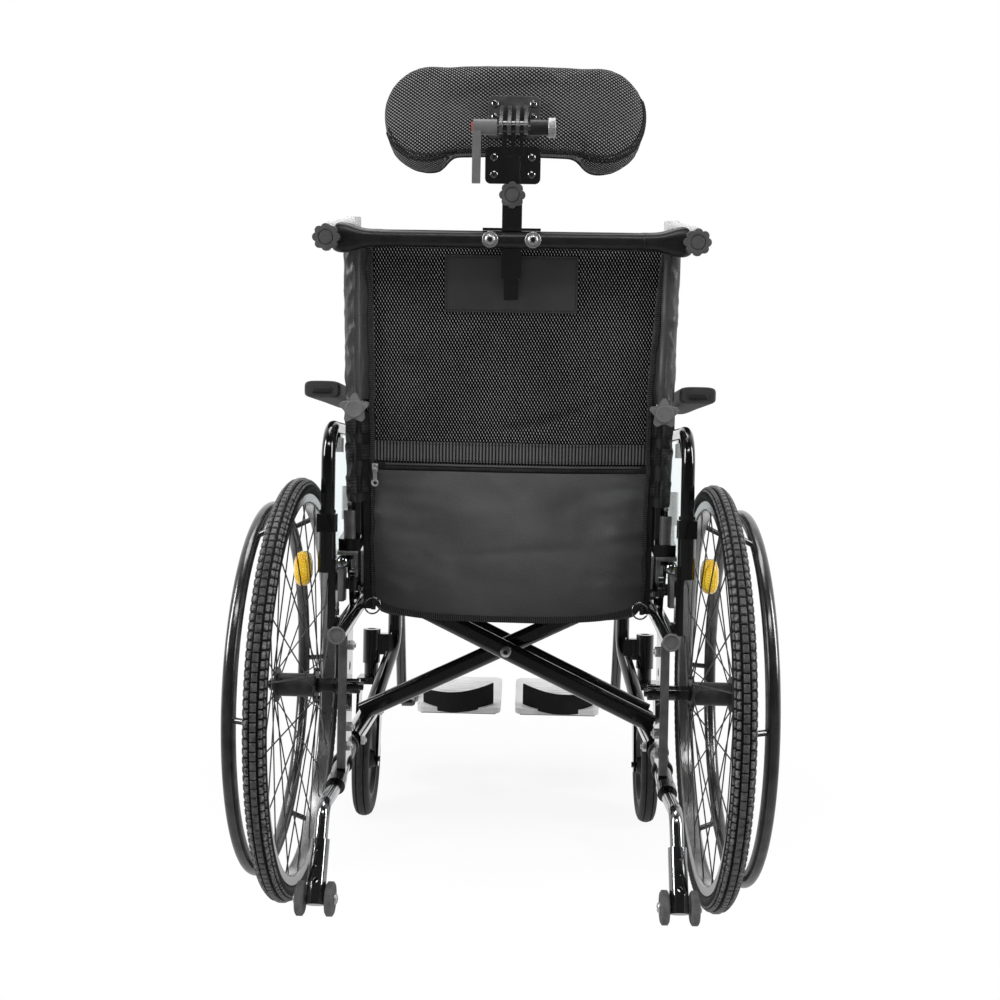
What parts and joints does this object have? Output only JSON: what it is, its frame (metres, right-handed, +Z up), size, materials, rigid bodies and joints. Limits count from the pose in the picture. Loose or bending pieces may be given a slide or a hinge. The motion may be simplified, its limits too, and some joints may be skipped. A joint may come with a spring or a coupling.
{
  "type": "reclining wheelchair",
  "caption": "Folding reclining wheelchair with spoked rear wheels and handrims, castors, anti-tip legs, sling seat and back, push bar, headrest, armrests and legrests.",
  "frame": {"origin": "on the floor under the middle of the chair's box", "axes": "+Y is the way the chair faces, +X its right-hand side, +Z up"},
  "size_m": [0.701, 1.0731, 1.2275],
  "materials": {
    "black_frame": "gloss powder coat",
    "grey_metal": "satin",
    "chrome": "polished",
    "steel": "brushed",
    "rim": "satin anodised",
    "tyre": "matt",
    "castor_tyre": "matt",
    "black_plastic": "moulded",
    "knob_plastic": "moulded",
    "handrim": "gloss powder coat",
    "skirt": "smooth",
    "arm_pad": "foam skin, soft matt",
    "back_mesh": "spacer mesh",
    "pocket_nylon": "woven nylon",
    "seat_nylon": "woven nylon",
    "headrest_mesh": "spacer mesh",
    "footplate": "moulded",
    "webbing": "webbing"
  },
  "bodies": {
    "right_frame": {"right_side_frame": "black_frame", "right_antitip_tube": "chrome"},
    "brace_pair": {"cross_brace_pair": "black_frame", "seat_sling": "seat_nylon"},
    "brace_single": {"cross_brace_single": "black_frame"},
    "left_frame": {"left_side_frame": "black_frame", "left_antitip_tube": "chrome"},
    "right_back": {"right_back_cane": "black_frame", "push_bar": "black_frame", "headrest_bracket": "black_plastic", "back_upholstery": "back_mesh", "back_pocket": "pocket_nylon"},
    "left_back": {"left_back_cane": "black_frame"},
    "headrest_post": {"headrest_stem": "black_frame"},
    "headrest": {"headrest_hinge": "black_frame", "headrest_pad": "headrest_mesh"},
    "headrest_clamp": {"clamp_lever": "grey_metal"},
    "headrest_nut": {"barrel_knob": "knob_plastic"},
    "stem_screw": {"stem_knob": "knob_plastic"},
    "right_wheel": {"right_wheel_tyre": "tyre", "right_wheel_rim": "rim", "right_wheel_spokes": "steel", "right_wheel_hub": "grey_metal", "right_handrim": "handrim"},
    "right_castor_swivel": {"right_castor_fork": "black_frame"},
    "right_castor_wheel": {"right_castor_tyre": "castor_tyre", "right_castor_hub": "black_plastic"},
    "right_antitip_slide": {"right_antitip_leg": "chrome"},
    "right_antitip_roll": {"right_antitip_rollers": "castor_tyre"},
    "right_release": {"right_release_lever": "grey_metal"},
    "right_cane_knob": {"right_star_knob": "knob_plastic"},
    "right_bar_knob": {"right_push_bar_knob": "knob_plastic"},
    "right_arm": {"right_arm_frame": "black_frame", "right_arm_pad": "arm_pad", "right_skirt_guard": "skirt"},
    "right_brake": {"right_brake_lever": "grey_metal"},
    "right_legrest": {"right_legrest_hanger": "black_frame"},
    "right_foot": {"right_footplate": "footplate", "right_heel_loop": "webbing"},
    "left_wheel": {"left_wheel_tyre": "tyre", "left_wheel_rim": "rim", "left_wheel_spokes": "steel", "left_wheel_hub": "grey_metal", "left_handrim": "handrim"},
    "left_castor_swivel": {"left_castor_fork": "black_frame"},
    "left_castor_wheel": {"left_castor_tyre": "castor_tyre", "left_castor_hub": "black_plastic"},
    "left_antitip_slide": {"left_antitip_leg": "chrome"},
    "left_antitip_roll": {"left_antitip_rollers": "castor_tyre"},
    "left_release": {"left_release_lever": "grey_metal"},
    "left_cane_knob": {"left_star_knob": "knob_plastic"},
    "left_bar_knob": {"left_push_bar_knob": "knob_plastic"},
    "left_arm": {"left_arm_frame": "black_frame", "left_arm_pad": "arm_pad", "left_skirt_guard": "skirt"},
    "left_brake": {"left_brake_lever": "grey_metal"},
    "left_legrest": {"left_legrest_hanger": "black_frame"},
    "left_foot": {"left_footplate": "footplate", "left_heel_loop": "webbing"}
  },
  "joints": [
    {"name": "fold_right", "type": "hinge", "parent": "right_frame", "child": "brace_pair", "pos_m": [0.237, -0.01962, 0.204], "axis": [0, 1, 0], "range_deg": [0, 40], "deforming": ["seat_sling", "back_upholstery", "back_pocket", "right_heel_loop", "left_heel_loop"]},
    {"name": "fold_middle", "type": "hinge", "parent": "brace_pair", "child": "brace_single", "pos_m": [0, 0.01338, 0.334], "axis": [0, 1, 0], "range_deg": [-80, 0]},
    {"name": "fold_left", "type": "hinge", "parent": "brace_single", "child": "left_frame", "pos_m": [-0.237, -0.01962, 0.204], "axis": [0, 1, 0], "range_deg": [0, 40]},
    {"name": "right_recline", "type": "hinge", "parent": "right_frame", "child": "right_back", "pos_m": [0.236, -0.10722, 0.445], "axis": [1, 0, 0], "range_deg": [0, 60]},
    {"name": "left_recline", "type": "hinge", "parent": "left_frame", "child": "left_back", "pos_m": [-0.236, -0.10722, 0.445], "axis": [1, 0, 0], "range_deg": [0, 60]},
    {"name": "headrest_height", "type": "slide", "parent": "right_back", "child": "headrest_post", "axis": [0, -0.1778, 0.9841], "range_m": [0, 0.12]},
    {"name": "headrest_tilt", "type": "hinge", "parent": "headrest_post", "child": "headrest", "pos_m": [0, -0.26162, 1.115], "axis": [1, 0, 0], "range_deg": [-8, 35]},
    {"name": "clamp_turn", "type": "hinge", "parent": "headrest", "child": "headrest_clamp", "pos_m": [-0.044, -0.26162, 1.115], "axis": [1, 0, 0], "range_deg": [-80, 20]},
    {"name": "barrel_turn", "type": "hinge", "parent": "headrest", "child": "headrest_nut", "pos_m": [0.046, -0.26162, 1.115], "axis": [1, 0, 0], "continuous": true},
    {"name": "stem_knob_turn", "type": "hinge", "parent": "right_back", "child": "stem_screw", "pos_m": [0, -0.24806, 1.02215], "axis": [0, -0.9841, -0.1778], "continuous": true},
    {"name": "right_wheel_spin", "type": "hinge", "parent": "right_frame", "child": "right_wheel", "pos_m": [0.301, -0.23162, 0.305], "axis": [1, 0, 0], "continuous": true},
    {"name": "right_castor_turn", "type": "hinge", "parent": "right_frame", "child": "right_castor_swivel", "pos_m": [0.252, 0.22838, 0.29], "axis": [0, 0, 1], "continuous": true},
    {"name": "right_castor_spin", "type": "hinge", "parent": "right_castor_swivel", "child": "right_castor_wheel", "pos_m": [0.252, 0.18138, 0.1], "axis": [1, 0, 0], "continuous": true},
    {"name": "right_antitip_height", "type": "slide", "parent": "right_frame", "child": "right_antitip_slide", "axis": [0, -0.4452, -0.8954], "range_m": [-0.012, 0.03]},
    {"name": "right_antitip_spin", "type": "hinge", "parent": "right_antitip_slide", "child": "right_antitip_roll", "pos_m": [0.237, -0.43662, 0.062], "axis": [1, 0, 0], "continuous": true},
    {"name": "right_release_lift", "type": "hinge", "parent": "right_back", "child": "right_release", "pos_m": [0.252, -0.1315, 0.48939], "axis": [-1, 0, 0], "range_deg": [0, 15], "stiffness_Nm_per_rad": 0.6, "springref_deg": -11.46},
    {"name": "right_cane_knob_turn", "type": "hinge", "parent": "right_back", "child": "right_cane_knob", "pos_m": [0.2315, -0.18652, 0.71521], "axis": [0, -0.9841, -0.1778], "continuous": true},
    {"name": "right_bar_knob_turn", "type": "hinge", "parent": "right_back", "child": "right_bar_knob", "pos_m": [0.266, -0.25556, 0.95678], "axis": [0, -0.9841, -0.1778], "continuous": true},
    {"name": "right_arm_lift", "type": "slide", "parent": "right_frame", "child": "right_arm", "axis": [0, 0, 1], "range_m": [0, 0.045]},
    {"name": "right_brake_turn", "type": "hinge", "parent": "right_frame", "child": "right_brake", "pos_m": [0.281, 0.07638, 0.43], "axis": [-1, 0, 0], "range_deg": [0, 30]},
    {"name": "right_legrest_swing", "type": "hinge", "parent": "right_frame", "child": "right_legrest", "pos_m": [0.213, 0.28438, 0.367], "axis": [0, 0, -1], "range_deg": [0, 90]},
    {"name": "right_foot_flip", "type": "hinge", "parent": "right_legrest", "child": "right_foot", "pos_m": [0.192, 0.41838, 0.16], "axis": [0, 0.974, 0.2267], "range_deg": [0, 90]},
    {"name": "left_wheel_spin", "type": "hinge", "parent": "left_frame", "child": "left_wheel", "pos_m": [-0.301, -0.23162, 0.305], "axis": [1, 0, 0], "continuous": true},
    {"name": "left_castor_turn", "type": "hinge", "parent": "left_frame", "child": "left_castor_swivel", "pos_m": [-0.252, 0.22838, 0.29], "axis": [0, 0, 1], "continuous": true},
    {"name": "left_castor_spin", "type": "hinge", "parent": "left_castor_swivel", "child": "left_castor_wheel", "pos_m": [-0.252, 0.18138, 0.1], "axis": [1, 0, 0], "continuous": true},
    {"name": "left_antitip_height", "type": "slide", "parent": "left_frame", "child": "left_antitip_slide", "axis": [0, -0.4452, -0.8954], "range_m": [-0.012, 0.03]},
    {"name": "left_antitip_spin", "type": "hinge", "parent": "left_antitip_slide", "child": "left_antitip_roll", "pos_m": [-0.237, -0.43662, 0.062], "axis": [1, 0, 0], "continuous": true},
    {"name": "left_release_lift", "type": "hinge", "parent": "left_back", "child": "left_release", "pos_m": [-0.252, -0.1315, 0.48939], "axis": [-1, 0, 0], "range_deg": [0, 15], "stiffness_Nm_per_rad": 0.6, "springref_deg": -11.46},
    {"name": "left_cane_knob_turn", "type": "hinge", "parent": "left_back", "child": "left_cane_knob", "pos_m": [-0.2315, -0.18652, 0.71521], "axis": [0, -0.9841, -0.1778], "continuous": true},
    {"name": "left_bar_knob_turn", "type": "hinge", "parent": "right_back", "child": "left_bar_knob", "pos_m": [-0.266, -0.25556, 0.95678], "axis": [0, -0.9841, -0.1778], "continuous": true},
    {"name": "left_arm_lift", "type": "slide", "parent": "left_frame", "child": "left_arm", "axis": [0, 0, 1], "range_m": [0, 0.045]},
    {"name": "left_brake_turn", "type": "hinge", "parent": "left_frame", "child": "left_brake", "pos_m": [-0.281, 0.07638, 0.43], "axis": [-1, 0, 0], "range_deg": [0, 30]},
    {"name": "left_legrest_swing", "type": "hinge", "parent": "left_frame", "child": "left_legrest", "pos_m": [-0.213, 0.28438, 0.367], "axis": [0, 0, 1], "range_deg": [0, 90]},
    {"name": "left_foot_flip", "type": "hinge", "parent": "left_legrest", "child": "left_foot", "pos_m": [-0.192, 0.41838, 0.16], "axis": [0, -0.974, -0.2267], "range_deg": [0, 90]}
  ],
  "couplings": [
    {"joint": "fold_middle", "follows": "fold_right", "ratio": -2},
    {"joint": "fold_left", "follows": "fold_right", "ratio": 1},
    {"joint": "left_recline", "follows": "right_recline", "ratio": 1},
    {"joint": "right_foot_flip", "follows": "fold_right", "ratio": 2.25},
    {"joint": "left_foot_flip", "follows": "fold_right", "ratio": 2.25}
  ]
}
